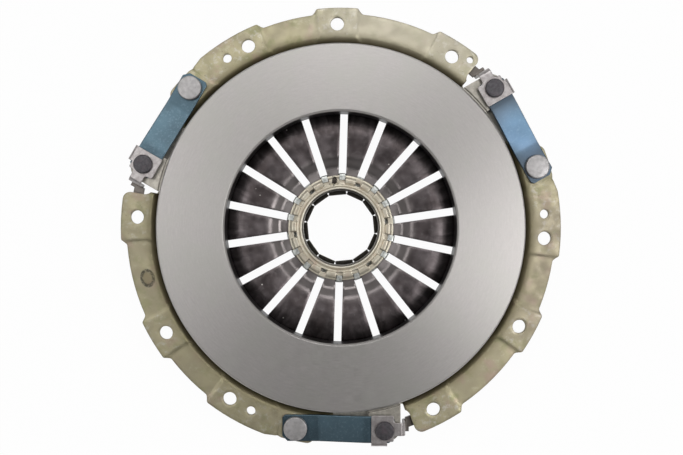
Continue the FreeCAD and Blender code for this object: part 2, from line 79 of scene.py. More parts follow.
# Studio: seamless white sweep and four equal soft boxes, the strongest at the right, two over the
# far side and a weak one at the left. None lights from the near side.
def linear(colour):
    """Linear red, green, blue and alpha of an sRGB colour written as hex."""
    parts = [int(colour[i:i + 2], 16) / 255 for i in (1, 3, 5)]
    return [p / 12.92 if p <= 0.04045 else ((p + 0.055) / 1.055) ** 2.4 for p in parts] + [1.0]


def add(tree, kind, inputs=None, **settings):
    """Adds a node with its settings; each input is a value or the output that feeds it."""
    node = tree.nodes.new(kind)
    for name, value in settings.items():
        setattr(node, name, value)
    for name, value in (inputs or {}).items():
        if isinstance(value, bpy.types.NodeSocket):
            tree.links.new(value, node.inputs[name])
        else:
            node.inputs[name].default_value = value
    return node


def seen_directly(tree):
    """One for camera, mirror and glass rays, nought for the light that falls on the object."""
    path = add(tree, "ShaderNodeLightPath")
    seen = add(tree, "ShaderNodeMath", {0: path.outputs["Is Camera Ray"], 1: path.outputs["Is Glossy Ray"]},
               operation="MAXIMUM")
    return add(tree, "ShaderNodeMath", {0: seen.outputs[0], 1: path.outputs["Is Transmission Ray"]},
               operation="MAXIMUM").outputs[0]


def step(tree, value, low, high, out_low=0.0, out_high=1.0):
    """Smooth change of a value between two limits."""
    return add(tree, "ShaderNodeMapRange", {
        "Value": value, "From Min": low, "From Max": high, "To Min": out_low, "To Max": out_high},
        interpolation_type="SMOOTHSTEP").outputs[0]


# The room: pale walls, which the metal mirrors when it is seen from the side, and a dark ceiling.
scene.view_settings.view_transform = "Standard"
world = bpy.data.worlds.new("pale studio room")
scene.world = world
world.use_nodes = True
tree = world.node_tree
direction = add(tree, "ShaderNodeTexCoord").outputs["Generated"]
upward = add(tree, "ShaderNodeSeparateXYZ", {0: direction}).outputs["Z"]
tree.nodes["Background"].inputs["Color"].default_value = linear("#ffffff")
walls = step(tree, upward, 0.1, 0.75, 0.7, 0.06)
looked_at = add(tree, "ShaderNodeLightPath").outputs["Is Camera Ray"]
tree.links.new(add(tree, "ShaderNodeMath", {0: walls, 1: looked_at}, operation="MAXIMUM").outputs[0],
               tree.nodes["Background"].inputs["Strength"])

# The paper: white where it is looked at or mirrored, pale grey to the light that falls on the part.
sweep = bpy.data.materials.new("white paper sweep")
sweep.use_nodes = True
tree = sweep.node_tree
paper = tree.nodes["Principled BSDF"]
paper.inputs["Base Color"].default_value = linear("#e6e6e6")
paper.inputs["Roughness"].default_value = 1.0
paper.inputs["Specular IOR Level"].default_value = 0.0
glow = add(tree, "ShaderNodeEmission", {"Color": linear("#ffffff"), "Strength": 1.0})
share = add(tree, "ShaderNodeMath", {0: seen_directly(tree), 1: 0.97}, operation="MULTIPLY")
mixed = add(tree, "ShaderNodeMixShader", {0: share.outputs[0], 1: paper.outputs[0], 2: glow.outputs[0]})
tree.links.new(mixed.outputs[0], tree.nodes["Material Output"].inputs["Surface"])

floor_z, reach = cad_box[0][2], 3.0
floor_corners = [(x, y, floor_z) for x, y in (
    (-reach, -reach), (reach, -reach), (reach, reach), (-reach, reach))]
floor_mesh = bpy.data.meshes.new("floor")
floor_mesh.from_pydata(floor_corners, [], [(0, 1, 2, 3)])
floor_mesh.materials.append(sweep)
floor = bpy.data.objects.new("floor", floor_mesh)
scene.collection.objects.link(floor)

box_side = 0.7
soft_boxes = (
    # name, place, watts
    ("soft box at the right", (0.746, -0.078, 1.41), 8.2),
    ("soft box over the far side", (0.078, 0.746, 1.41), 5.6),
    ("soft box over the far left", (-0.622, 0.419, 1.41), 2.9),
    ("fill at the left", (-0.744, -0.098, 1.41), 3.0),
)
for name, place, watts in soft_boxes:
    lamp = bpy.data.lights.new(name, "AREA")
    lamp.shape = "RECTANGLE"
    lamp.size = lamp.size_y = box_side
    lamp.energy = watts
    box = bpy.data.objects.new(name, lamp)
    box.location = place
    box.rotation_euler = Vector(place).to_track_quat("Z", "Y").to_euler()
    scene.collection.objects.link(box)


# Cover: one deep-drawn sheet of 4 mm mild steel, blanked, pressed and pierced, then zinc
# plated and passivated yellow, which leaves faint yellow, green and pink patches. The pads
# are rubbed pale in places, and the bent foot of the flange carries painted shade.
def new_material(name):
    """A named material: its node tree, its shader, and its place coordinates in metres."""
    material = bpy.data.materials.new(name)
    material.use_nodes = True
    tree = material.node_tree
    return material, tree, tree.nodes["Principled BSDF"], add(tree, "ShaderNodeTexCoord").outputs["Object"]


def noise(tree, place, size_mm, detail=3.0, roughness=0.55):
    """Cloudy pattern whose patches are about the given size."""
    return add(tree, "ShaderNodeTexNoise", {
        "Vector": place, "Scale": 1 / (size_mm * MM), "Detail": detail, "Roughness": roughness}).outputs["Fac"]


def blended(tree, factor, first, second):
    """Mix of two colours, written as hex or fed from a node."""
    first = linear(first) if isinstance(first, str) else first
    second = linear(second) if isinstance(second, str) else second
    return add(tree, "ShaderNodeMix", {0: factor, 6: first, 7: second}, data_type="RGBA").outputs[2]


def sums(tree, operation, *values):
    """Arithmetic on values and outputs."""
    return add(tree, "ShaderNodeMath", dict(enumerate(values)), operation=operation).outputs[0]


def round_about(tree, place):
    """Distance from the clutch axis, angle about it, and height of a place."""
    split = add(tree, "ShaderNodeSeparateXYZ", {0: place}).outputs
    level = add(tree, "ShaderNodeCombineXYZ", {0: split["X"], 1: split["Y"]}).outputs[0]
    radius = add(tree, "ShaderNodeVectorMath", {0: level}, operation="LENGTH").outputs["Value"]
    return radius, sums(tree, "ARCTAN2", split["Y"], split["X"]), split["Z"]


def shaded_in_corners(tree, colour, depth_mm, shade_colour, most):
    """Colour with painted shade where the surface lies in a corner or under something."""
    open_sky = add(tree, "ShaderNodeAmbientOcclusion", {"Distance": depth_mm * MM}).outputs["AO"]
    return blended(tree, step(tree, open_sky, 0.15, 0.75, most, 0.0), colour, shade_colour)


def surfaced(tree, shader, height, depth_mm, strength, edge_mm=0.0, eased=None):
    """Gives a shader fine relief and, if asked, edges that catch the light as if rounded or shallow."""
    bump = add(tree, "ShaderNodeBump", {"Height": height, "Distance": depth_mm * MM, "Strength": strength})
    if edge_mm:
        soft = add(tree, "ShaderNodeBevel", {"Radius": edge_mm * MM}, samples=8).outputs[0]
        if eased is not None:
            straight_up = (0.0, 0.0, 1.0)
            soft = add(tree, "ShaderNodeMix", {0: eased, 4: soft, 5: straight_up}, data_type="VECTOR")
            soft = add(tree, "ShaderNodeVectorMath", {0: soft.outputs[1]}, operation="NORMALIZE").outputs[0]
        tree.links.new(soft, bump.inputs["Normal"])
    tree.links.new(bump.outputs[0], shader.inputs["Normal"])


def soften(work, corner):
    """Smooth shading, except over edges that turn by more than the corner's degrees."""
    for face in work.faces:
        face.smooth = True
    for edge in work.edges:
        edge.smooth = edge.calc_face_angle(0.0) < math.radians(corner)


def dressed(node, name, material, body):
    """Finished copy of a CAD piece, welded, and smooth where the real one is round."""
    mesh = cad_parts[node].data.copy()
    work = bmesh.new()
    work.from_mesh(mesh)
    bmesh.ops.remove_doubles(work, verts=work.verts, dist=0.0005 * MM)
    soften(work, 28)
    work.to_mesh(mesh)
    work.free()
    piece = bpy.data.objects.new(name, mesh)
    scene.collection.objects.link(piece)
    weights = piece.modifiers.new("normals", "WEIGHTED_NORMAL")
    weights.keep_sharp = True
    weights.weight = 100
    settled(piece, name, material, body, [node])


def settled(piece, name, material, body, nodes):
    """Applies a piece's modifiers, gives it its material, hides the CAD nodes it stands for, and puts it on its
    body, if it has one.
    """
    mesh = bpy.data.meshes.new_from_object(piece.evaluated_get(bpy.context.evaluated_depsgraph_get()))
    piece.modifiers.clear()
    piece.data = mesh
    mesh.name = name
    mesh.materials.clear()
    mesh.materials.append(material)
    for face in mesh.polygons:
        face.material_index = 0
    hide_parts(*nodes)
    if body is not None:
        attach(piece, body)


# Passivated zinc is a soft olive cream to the eye, faintly clouded with green and pink.
zinc, tree, shader, place = new_material("yellow passivated zinc on pressed steel")
radius, around, height = round_about(tree, place)
colour = blended(tree, step(tree, noise(tree, place, 22), 0.38, 0.62), "#a1997f", "#aea687")
colour = blended(tree, step(tree, noise(tree, place, 9, 4), 0.50, 0.68, 0, 0.6), colour, "#8f9068")
colour = blended(tree, step(tree, noise(tree, place, 13, 4), 0.53, 0.70, 0, 0.55), colour, "#a88f84")
colour = blended(tree, step(tree, noise(tree, place, 6, 5, 0.7), 0.54, 0.72, 0, 0.35), colour, "#cdc8b0")
# Creamier and paler over the far right of the rim than elsewhere.
creamy = step(tree, sums(tree, "ABSOLUTE", sums(tree, "SUBTRACT", around, 1.25)), 0.25, 0.6, 0.7, 0.0)
colour = blended(tree, creamy, colour, "#b9b3a2")
# Pads rubbed pale by the flywheel, with dark scuffs where they were handled.
pad = step(tree, height, -0.4 * MM, 0.0)
rubbed = step(tree, noise(tree, place, 5, 6, 0.7), 0.5, 0.66, 0, 0.55)
colour = blended(tree, sums(tree, "MULTIPLY", pad, rubbed), colour, "#c9c5bc")
scuffed = step(tree, noise(tree, place, 2.2, 6, 0.75), 0.58, 0.68, 0, 0.55)
colour = blended(tree, sums(tree, "MULTIPLY", pad, scuffed), colour, "#57504a")
# Painted shade over the right and lower right of the rim, browner there.
right_side_shade = step(tree, sums(tree, "ABSOLUTE", sums(tree, "ADD", around, 0.22)), 0.26, 0.46, 0.42, 0.0)
colour = blended(tree, right_side_shade, colour, "#867b6f")
# Painted shade towards the lower left of the rim, duller there.
lower_left_shade = step(tree, sums(tree, "COSINE", sums(tree, "ADD", around, 2.4)), 0.1, 0.7, 0.0, 0.35)
colour = blended(tree, lower_left_shade, colour, "#857e68")
# Dark oval stamp of a clamp, 9 by 12 mm, on the flange at the left.
at = add(tree, "ShaderNodeMapping", {
    "Vector": place, "Location": (-127.6 * MM, -33.3 * MM, 0.0), "Rotation": (0.0, 0.0, math.radians(104)),
    "Scale": (5.6 * MM, 4.3 * MM, 1.0)}, vector_type="TEXTURE").outputs[0]
oval = add(tree, "ShaderNodeSeparateXYZ", {0: at}).outputs
oval = add(tree, "ShaderNodeCombineXYZ", {0: oval["X"], 1: oval["Y"]}).outputs[0]
oval = add(tree, "ShaderNodeVectorMath", {0: oval}, operation="LENGTH").outputs["Value"]
stamp = sums(tree, "MULTIPLY", step(tree, oval, 0.5, 0.8), step(tree, oval, 1.02, 1.18, 1.0, 0.0))
stamp = sums(tree, "MULTIPLY", stamp, step(tree, noise(tree, place, 1.6, 4), 0.32, 0.55, 0.25, 0.9))
colour = blended(tree, stamp, colour, "#3d3a31")
colour = blended(tree, step(tree, oval, 0.5, 0.9, 0.6, 0.0), colour, "#6b6144")
# Painted shade on the bent foot of the flange beside the plate's rim, dark and greener.
foot_shade = step(tree, radius, 121.0 * MM, 131.5 * MM, 0.75, 0.0)
colour = blended(tree, foot_shade, colour, "#706843")
# Painted shade where the flange lies in corners or under the plate's rim.
colour = shaded_in_corners(tree, colour, 4, "#45401f", 0.5)
tree.links.new(colour, shader.inputs["Base Color"])
shader.inputs["Metallic"].default_value = 0.55
tree.links.new(step(tree, noise(tree, place, 7), 0.3, 0.7, 0.34, 0.54), shader.inputs["Roughness"])
# The pressed flanks beside the pads are shallower on the real cover than on the solid.
flat_top = sums(tree, "MULTIPLY", step(tree, height, -2.2 * MM, -1.7 * MM, 0.0, 0.6),
                step(tree, radius, 124.0 * MM, 127.0 * MM))
surfaced(tree, shader, noise(tree, place, 1.2, 4), 0.06, 0.6, 3.0, flat_top)

dressed("cover", "cover_pressing", zinc, "cover")


# Window webs: the cover's own sheet, left low in the wall at the start of each lug window by a
# rounded punch. They are a guess: without them light shows in a slit beside the plate's rim.
def skinned(name, rows):
    """Closed skin over rows of points, each row a loop, with a cap at both ends."""
    count = len(rows[0])
    verts = [spot for row in rows for spot in row]
    faces = [tuple(range(count))[::-1], tuple(range(len(verts) - count, len(verts)))]
    for i in range(len(rows) - 1):
        for k in range(count):
            a, b = i * count + k, i * count + (k + 1) % count
            faces.append((a, b, b + count, a + count))
    mesh = bpy.data.meshes.new(name)
    mesh.from_pydata(verts, [], faces)
    outward(mesh)
    return mesh


def outward(mesh):
    """Turns all faces outwards and keeps only real corners sharp."""
    work = bmesh.new()
    work.from_mesh(mesh)
    bmesh.ops.recalc_face_normals(work, faces=work.faces)
    soften(work, 35)
    work.to_mesh(mesh)
    work.free()


# The assembly repeats every third of a turn; angles are in degrees from the X axis.
third = 120
web_outline = [(121.6, 25.6), (126.6, 25.6), (126.6, 27.8), (125.4, 28.4), (121.6, 28.4)]
web_low, web_high = -14.6, -11.2
for k, letter in enumerate("abc"):
    around = [(r * MM, math.radians(angle + third * k)) for r, angle in web_outline]
    rows = [[(r * math.cos(turn), r * math.sin(turn), z * MM) for r, turn in around]
            for z in (web_low, web_high)]
    web = bpy.data.objects.new("window_web_" + letter, skinned("window_web_" + letter, rows))
    scene.collection.objects.link(web)
    settled(web, web.name, zinc, "cover", ["cover"])


# Pressure plate: grey cast iron ring. The friction face is ground, so it is pale and even
# with fine rings; lug faces are milled; the back and the lugs' sides keep the cast skin.
# Ground iron is an even pale silver to the eye, drawn into soft rings; cast skin is brown grey.
iron, tree, shader, place = new_material("ground grey cast iron")
radius, around, height = round_about(tree, place)
# Grinding marks, drawn 0.6 mm wide and about 7 mm long because the real ones are too fine to show.
rings = add(tree, "ShaderNodeCombineXYZ", {
    0: sums(tree, "MULTIPLY", radius, 1 / (0.6 * MM)), 1: sums(tree, "MULTIPLY", around, 14.0)}).outputs[0]
rings = add(tree, "ShaderNodeTexNoise", {"Vector": rings, "Scale": 1.0, "Detail": 3.0}).outputs["Fac"]
ground = blended(tree, step(tree, rings, 0.3, 0.7), "#a9a5a3", "#b0acaa")
ground = blended(tree, step(tree, noise(tree, place, 1.4, 3, 0.7), 0.35, 0.65, 0, 0.25), ground, "#a09d9a")
ground = blended(tree, step(tree, noise(tree, place, 20), 0.35, 0.7, 0, 0.4), ground, "#a8a8a1")
skin = blended(tree, step(tree, noise(tree, place, 3, 4), 0.35, 0.65), "#6d6462", "#8a807b")
milled = blended(tree, step(tree, noise(tree, place, 2.5, 3), 0.35, 0.65), "#a29d93", "#b5b0a6")
normal = add(tree, "ShaderNodeTexCoord").outputs["Normal"]
facing = add(tree, "ShaderNodeSeparateXYZ", {0: normal}).outputs["Z"]
colour = blended(tree, step(tree, facing, 0.8, 0.95), skin, milled)
# Bore left as turned; painted shade makes it near black inside, with a bright broken edge.
colour = blended(tree, step(tree, radius, 77.6 * MM, 78.2 * MM, 0.9, 0.0), colour, "#1b1d20")
face_start, face_full = 8.6 * MM, 9.1 * MM
colour = blended(tree, step(tree, height, face_start, face_full), colour, ground)
tree.links.new(colour, shader.inputs["Base Color"])
tree.links.new(step(tree, height, face_start, face_full, 0.6, 0.8), shader.inputs["Metallic"])
tree.links.new(step(tree, rings, 0.3, 0.7, 0.34, 0.38), shader.inputs["Roughness"])
# The grinding marks run round the axis, so lamps draw out to streaks across them.
along_marks = add(tree, "ShaderNodeTangent", direction_type="RADIAL", axis="Z").outputs[0]
tree.links.new(along_marks, shader.inputs["Tangent"])
shader.inputs["Anisotropic"].default_value = 0.38
shader.inputs["Anisotropic Rotation"].default_value = 0.25
surfaced(tree, shader, rings, 0.0015, 0.4, 0.8)

dressed("pressure_plate", "friction_plate", iron, "pressure_plate")


# Diaphragm spring: one coned sheet of chrome-vanadium spring steel, 2.8 mm, slotted into 18
# fingers, oil tempered to a dark brown skin and shot-peened. The rim turns on its wire ring
# while the tips are pulled, so each finger is a piece of its own.
def bent_line(corners):
    """Points and normals along straight runs joined by arcs; corners are (x, z, radius)."""
    points = [Vector((x, z)) for x, z, radius in corners]
    runs = [(b - a).normalized() for a, b in zip(points, points[1:])]
    line = [(points[0], runs[0])]
    for i in range(1, len(points) - 1):
        a, b, radius = runs[i - 1], runs[i], corners[i][2]
        turn = a.angle_signed(b)
        length = radius * math.tan(abs(turn) / 2)
        centre = points[i] - a * length + Vector((-a.y, a.x)) * math.copysign(radius, -turn)
        first = points[i] - a * length - centre
        count = max(2, math.ceil(abs(turn) / math.radians(4)))
        for k in range(count + 1):
            bend = Matrix.Rotation(-turn * k / count, 2)
            line.append((centre + bend @ first, bend @ a))
    line.append((points[-1], runs[-1]))
    return [(p.x, p.y, -along.y, along.x) for p, along in line]


def on_line(line, x):
    """Height and normal of a bent line at a distance along it."""
    for a, b in zip(line, line[1:]):
        if a[0] <= x <= b[0]:
            t = (x - a[0]) / max(b[0] - a[0], 1e-9)
            return [a[i] + (b[i] - a[i]) * t for i in (1, 2, 3)]
    return line[-1][1:]


finger_count, slot_half, slot_root_r, first_slot = 18, 2.5, 80.0, 8.3
spring_sheet, edge_ease, tip_r, rim_r = 2.8, 0.4, 28.0, 117.0
spring_line = bent_line([
    (tip_r, -11.455, 0), (41.0, -11.455, 6.0), (47.0, -7.955, 10.0), (64.0, -6.155, 45.0), (rim_r, -16.755, 0)])
# Stations at every bend, every 1.5 mm along the finger, round the slot's root and over the rim.
radii = sorted({round(p[0], 3) for p in spring_line} | {tip_r + 1.5 * i for i in range(34)}
               | {slot_root_r + slot_half * math.sin(math.radians(a)) for a in range(0, 91, 10)}
               | {84.0, 88.0, 92.0, 97.0, 102.0, 107.0, 112.0, 114.0})


def finger_mesh(turn):
    """One finger with its share of the rim, edges eased, turned to its place."""
    rows = []
    for r in radii:
        z, nx, nz = on_line(spring_line, r)
        beyond = r - slot_root_r
        gap = slot_half if beyond <= 0 else math.sqrt(max(slot_half ** 2 - beyond ** 2, 0))
        ease = edge_ease * gap / slot_half
        half = math.pi / finger_count - math.asin(gap / r)
        across = [-1, -0.985, -0.93, -0.7, -0.35, 0, 0.35, 0.7, 0.93, 0.985, 1]
        row = []
        for side, lift in ((1, 0.0), (-1, -spring_sheet)):
            for share in across[::side]:
                inset = max(0.0, ease - (1 - abs(share)) * half * r)
                depth = lift - side * (ease - math.sqrt(ease ** 2 - inset ** 2))
                rr, zz = r + nx * depth, z + nz * depth
                angle = turn + share * half
                row.append((rr * math.cos(angle) * MM, rr * math.sin(angle) * MM, zz * MM))
        rows.append(row)
    return skinned("finger", rows)


# Oil temper is satin to the eye, nearly black at the rim and a brown grey along the fingers.
tempered, tree, shader, place = new_material("oil-tempered spring steel")
radius, around = round_about(tree, place)[:2]
colour = blended(tree, step(tree, noise(tree, place, 14, 2), 0.3, 0.7), "#463f3f", "#635c5d")
colour = blended(tree, step(tree, noise(tree, place, 3.5, 4, 0.6), 0.5, 0.75, 0, 0.16), colour, "#8d8989")
# Quench runs from the rim inwards, wavy and dark brown.
wavy = sums(tree, "MULTIPLY_ADD", noise(tree, place, 7, 2), 1.6, sums(tree, "MULTIPLY", around, 15.0))
runs = add(tree, "ShaderNodeCombineXYZ", {0: sums(tree, "MULTIPLY", radius, 1 / (22 * MM)), 1: wavy}).outputs[0]
runs = add(tree, "ShaderNodeTexNoise", {"Vector": runs, "Scale": 1.0, "Detail": 3.0}).outputs["Fac"]
rim = sums(tree, "MULTIPLY_ADD", runs, 30 * MM, radius)
colour = blended(tree, step(tree, rim, 74 * MM, 97 * MM, 0, 0.92), colour, "#1c1817")
# Painted shade in a darker ring at the knee; paler and rubbed tips beside the collar, and a few bright nicks.
knee_shade = sums(tree, "MULTIPLY", step(tree, radius, 37 * MM, 39 * MM),
            step(tree, radius, 41 * MM, 43 * MM, 1.0, 0.0))
colour = blended(tree, sums(tree, "MULTIPLY", knee_shade, 0.5), colour, "#231f1f")
colour = blended(tree, step(tree, radius, 44 * MM, 52 * MM, 0.5, 0.0), colour, "#a09a98")
nick = add(tree, "ShaderNodeTexVoronoi", {"Vector": place, "Scale": 1 / (9 * MM)}).outputs["Distance"]
colour = blended(tree, step(tree, nick, 0.03, 0.07, 0.85, 0), colour, "#d8d4ce")
tree.links.new(colour, shader.inputs["Base Color"])
shader.inputs["Metallic"].default_value = 0.85
tree.links.new(step(tree, noise(tree, place, 8, 2), 0.3, 0.7, 0.28, 0.4), shader.inputs["Roughness"])
surfaced(tree, shader, noise(tree, place, 12.0, 1), 0.3, 1.0)

for number in range(finger_count):
    turn = math.radians(first_slot + 360 / finger_count * (number + 0.5))
    finger = bpy.data.objects.new("spring_finger_%02d" % (number + 1), finger_mesh(turn))
    scene.collection.objects.link(finger)
    settled(finger, finger.name, tempered, None, ["diaphragm_spring"])
    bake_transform(finger)


# Drive straps: three packs of three 0.8 mm leaves of hardened spring strip, tempered blue.
# They carry the plate round and bend in an S as it lifts, held by a rivet at each end.
bolt_circle_r, cover_rivet_angle, plate_rivet_angle = 134.5, 17.25, 42.2
leaf_count, leaf_sheet, leaf_edge, strap_half, strap_length = 3, 0.8, 0.12, 8.5, 58.1
# How far a leaf reaches past its two rivets, and how far from each of them it is held flat.
strap_end, strap_fore_end, held_flat = 8.6, 6.4, 8.6
outer_cut, inner_cut = 3.4, 1.7
ledge_z, lug_z = 1.2, 6.0
strap_last = strap_length + strap_fore_end
leaf_line = bent_line([
    (-strap_end, ledge_z, 0), (15.03, ledge_z, 20.0),
    (strap_length - 12.4, lug_z, 22.4), (strap_last, lug_z, 0)])


def leaf_mesh(number):
    """One leaf along Y, with cut corners, a slight edge radius and enough stations to bend."""
    stations = sorted({p[0] for p in leaf_line[1:-1]} | {2.0 * i for i in range(29)} | {
        -strap_end, -strap_end + inner_cut, -strap_end + outer_cut,
        strap_last - outer_cut, strap_last - inner_cut, strap_last})
    rows = []
    for y in stations:
        z, ny, nz = on_line(leaf_line, y)
        end = min(y + strap_end, strap_last - y)
        outer = strap_half - max(0.0, outer_cut - end)
        inner = strap_half - max(0.0, inner_cut - end)
        row = []
        for lift, shares in ((number + 1, (-1, -0.97, -0.94, 0, 0.94, 0.97, 1)), (number, (1, 0, -1))):
            for share in shares:
                edge = leaf_edge if abs(share) == 1 and lift == number + 1 else 0.0
                depth = lift * leaf_sheet - edge
                x = share * (outer if share > 0 else inner)
                row.append((x * MM, (y + ny * depth) * MM, (z + nz * depth) * MM))
        rows.append(row)
    return skinned("leaf", rows)


# Blue temper is a smooth satin slate to the eye, with painted shade between the leaves and under the rivets.
blued, tree, shader, place = new_material("blue tempered spring strip")
around = round_about(tree, place)[1]
# The pack at the upper right took a bluer temper than the other two.
bluer = step(tree, sums(tree, "ABSOLUTE", sums(tree, "SUBTRACT", around, 0.52)), 0.4, 0.8, 1.0, 0.0)
slate = blended(tree, step(tree, noise(tree, place, 30, 2), 0.3, 0.7), "#44545d", "#506570")
blue = blended(tree, step(tree, noise(tree, place, 22, 1), 0.3, 0.7), "#4e6477", "#597087")
colour = blended(tree, bluer, slate, blue)
colour = blended(tree, step(tree, noise(tree, place, 1.5, 4, 0.7), 0.5, 0.7, 0, 0.25), colour, "#7f93a0")
# Painted highlight and shade: it is painted palest at mid-length and darker slate towards both ends.
strap_middle = (116.5 * MM, 64.0 * MM, 4.0 * MM)
off = add(tree, "ShaderNodeVectorMath", {0: place, 1: strap_middle}, operation="DISTANCE").outputs["Value"]
ends = step(tree, off, 5 * MM, 23 * MM, 0.0, 0.9)
colour = blended(tree, sums(tree, "MULTIPLY", bluer, ends), colour, "#454e57")
# Painted shade between the leaves and round the rivet heads.
colour = shaded_in_corners(tree, colour, 1.3, "#1c242c", 0.85)
tree.links.new(colour, shader.inputs["Base Color"])
shader.inputs["Metallic"].default_value = 0.9
tree.links.new(step(tree, noise(tree, place, 12), 0.3, 0.7, 0.33, 0.38), shader.inputs["Roughness"])

strap_angle = (cover_rivet_angle + plate_rivet_angle) / 2
rivet = Matrix.Rotation(math.radians(cover_rivet_angle), 3, "Z") @ Vector((bolt_circle_r * MM, 0, 0))
for k, letter in enumerate("abc"):
    # A leaf is made round its cover rivet, X outwards and Y along the strap, and then set there.
    to_place = (Matrix.Rotation(math.radians(third * k), 4, "Z") @ Matrix.Translation(rivet)
                @ Matrix.Rotation(math.radians(strap_angle), 4, "Z"))
    ends = [tuple(to_place @ Vector((0, y * MM, 0))) for y in (held_flat, strap_length - held_flat)]
    for number in range(leaf_count):
        node = "strap_%s_leaf_%d" % (letter, number + 1)
        mesh = leaf_mesh(number)
        mesh.transform(to_place)
        leaf = bpy.data.objects.new("blue_" + node, mesh)
        scene.collection.objects.link(leaf)
        settled(leaf, leaf.name, blued, None, [node])
        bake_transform(leaf)


# Rivets: cold-headed steel. The pale ones hold the straps on the cover's ledges, the dark
# phosphated ones hold strap and stop clip on the plate's lugs. Each is a turned shape, set
# three times round the axis.
def grown(name, sizes, shaped, material, body, node):
    """Piece grown by a node tree, whose named inputs are the given sizes."""
    tree = bpy.data.node_groups.new(name, "GeometryNodeTree")
    sockets = {key: tree.interface.new_socket(
        key, in_out="INPUT", socket_type="NodeSocketInt" if isinstance(value, int) else "NodeSocketFloat")
        for key, value in sizes.items()}
    tree.interface.new_socket("Geometry", in_out="OUTPUT", socket_type="NodeSocketGeometry")
    shape = shaped(tree, add(tree, "NodeGroupInput").outputs)
    welded = add(tree, "GeometryNodeMergeByDistance", {
        0: add(tree, "GeometryNodeRealizeInstances", {0: shape}).outputs[0], "Distance": 0.002 * MM})
    painted = add(tree, "GeometryNodeSetMaterial", {0: welded.outputs[0], "Material": material})
    add(tree, "NodeGroupOutput", {0: painted.outputs[0]})
    piece = bpy.data.objects.new(name, bpy.data.meshes.new(name))
    scene.collection.objects.link(piece)
    growth = piece.modifiers.new("growth", "NODES")
    growth.node_group = tree
    for key, value in sizes.items():
        growth[sockets[key].identifier] = value
    settled(piece, name, material, body, [node])
    outward(piece.data)


def all_round(tree, shape, count, first, step_angle, chosen=True):
    """Copies of a shape turned about the clutch axis; angles are in degrees."""
    turn = sums(tree, "RADIANS", sums(tree, "MULTIPLY_ADD", add(tree, "GeometryNodeInputIndex").outputs[0],
                                      step_angle, first))
    turn = add(tree, "FunctionNodeEulerToRotation", {
        0: add(tree, "ShaderNodeCombineXYZ", {2: turn}).outputs[0]}).outputs[0]
    return add(tree, "GeometryNodeInstanceOnPoints", {
        "Points": add(tree, "GeometryNodePoints", {"Count": count}).outputs[0],
        "Instance": shape, "Rotation": turn, "Selection": chosen}).outputs[0]


def turned_bands(tree, line, out):
    """Skin turned through (radius, height) points, its axis set out along X."""
    bands = add(tree, "GeometryNodeJoinGeometry")
    for (r0, z0), (r1, z1) in zip(line, line[1:]):
        band = add(tree, "GeometryNodeMeshCone", {
            "Vertices": 64, "Radius Bottom": r0, "Radius Top": r1, "Depth": sums(tree, "SUBTRACT", z1, z0)},
            fill_type="NONE")
        spot = add(tree, "ShaderNodeCombineXYZ", {0: out, 2: z0}).outputs[0]
        moved = add(tree, "GeometryNodeTransform", {0: band.outputs["Mesh"], "Translation": spot})
        tree.links.new(moved.outputs[0], bands.inputs[0])
    return bands.outputs[0]


def rivets(tree, size):
    """Rivets with a rounded head, a shank and a formed tail, round the bolt circle."""
    top = sums(tree, "ADD", size["Head base"], size["Head height"])
    low = sums(tree, "SUBTRACT", size["Tail top"], size["Tail height"])
    line = [(0.0, low), (sums(tree, "SUBTRACT", size["Tail radius"], size["Edge"]), low),
            (size["Tail radius"], sums(tree, "ADD", low, size["Edge"])),
            (size["Tail radius"], size["Tail top"]),
            (size["Shank radius"], size["Tail top"]), (size["Shank radius"], size["Head base"]),
            (size["Head radius"], size["Head base"])]
    for turn in range(0, 91, 15):
        inset = sums(tree, "MULTIPLY", size["Edge"], 1 - math.cos(math.radians(turn)))
        sunk = sums(tree, "MULTIPLY", size["Edge"], 1 - math.sin(math.radians(turn)))
        line.append((sums(tree, "SUBTRACT", size["Head radius"], inset), sums(tree, "SUBTRACT", top, sunk)))
    line.append((0.0, top))
    one = turned_bands(tree, line, size["Bolt circle"])
    return all_round(tree, one, size["Count"], size["First angle"], third)


# Satin zinc is pale grey to the eye with a soft shine, with painted shade where the head meets the strap.
pale, tree, shader, place = new_material("satin zinc on cold-headed steel")
colour = blended(tree, step(tree, noise(tree, place, 2.5, 4), 0.35, 0.65), "#999796", "#aba8a8")
# Painted shade where the head meets the strap.
colour = shaded_in_corners(tree, colour, 2, "#2c2a28", 0.8)
tree.links.new(colour, shader.inputs["Base Color"])
shader.inputs["Metallic"].default_value = 0.5
tree.links.new(step(tree, noise(tree, place, 1.5), 0.3, 0.7, 0.32, 0.46), shader.inputs["Roughness"])
surfaced(tree, shader, noise(tree, place, 0.9, 3), 0.05, 0.7)

# Phosphate is a dull dark grey to the eye, with a tinge of violet brown.
dark, tree, shader, place = new_material("phosphated cold-headed steel")
colour = blended(tree, step(tree, noise(tree, place, 1.8, 4), 0.35, 0.65), "#3e3b3f", "#4f4d50")
colour = blended(tree, step(tree, noise(tree, place, 3.5, 3), 0.5, 0.7, 0, 0.35), colour, "#5d4f55")
tree.links.new(colour, shader.inputs["Base Color"])
shader.inputs["Metallic"].default_value = 0.5
shader.inputs["Roughness"].default_value = 0.42
surfaced(tree, shader, noise(tree, place, 1.0, 3), 0.06, 0.7)

both_kinds = {
    "Bolt circle": bolt_circle_r * MM, "Count": 3, "Shank radius": 4.0 * MM,
    "Tail height": 2.0 * MM, "Edge": 0.8 * MM}
grown("pale_rivets", {
    **both_kinds, "First angle": cover_rivet_angle, "Head radius": 7.75 * MM, "Head base": 3.6 * MM,
    "Head height": 3.2 * MM, "Tail radius": 4.8 * MM, "Tail top": -2.8 * MM},
    rivets, pale, "cover", "cover_strap_rivets")
grown("dark_rivets", {
    **both_kinds, "First angle": plate_rivet_angle, "Head radius": 6.05 * MM, "Head base": 10.0 * MM,
    "Head height": 2.5 * MM, "Tail radius": 5.5 * MM, "Tail top": -5.5 * MM},
    rivets, dark, "pressure_plate", "plate_strap_rivets")
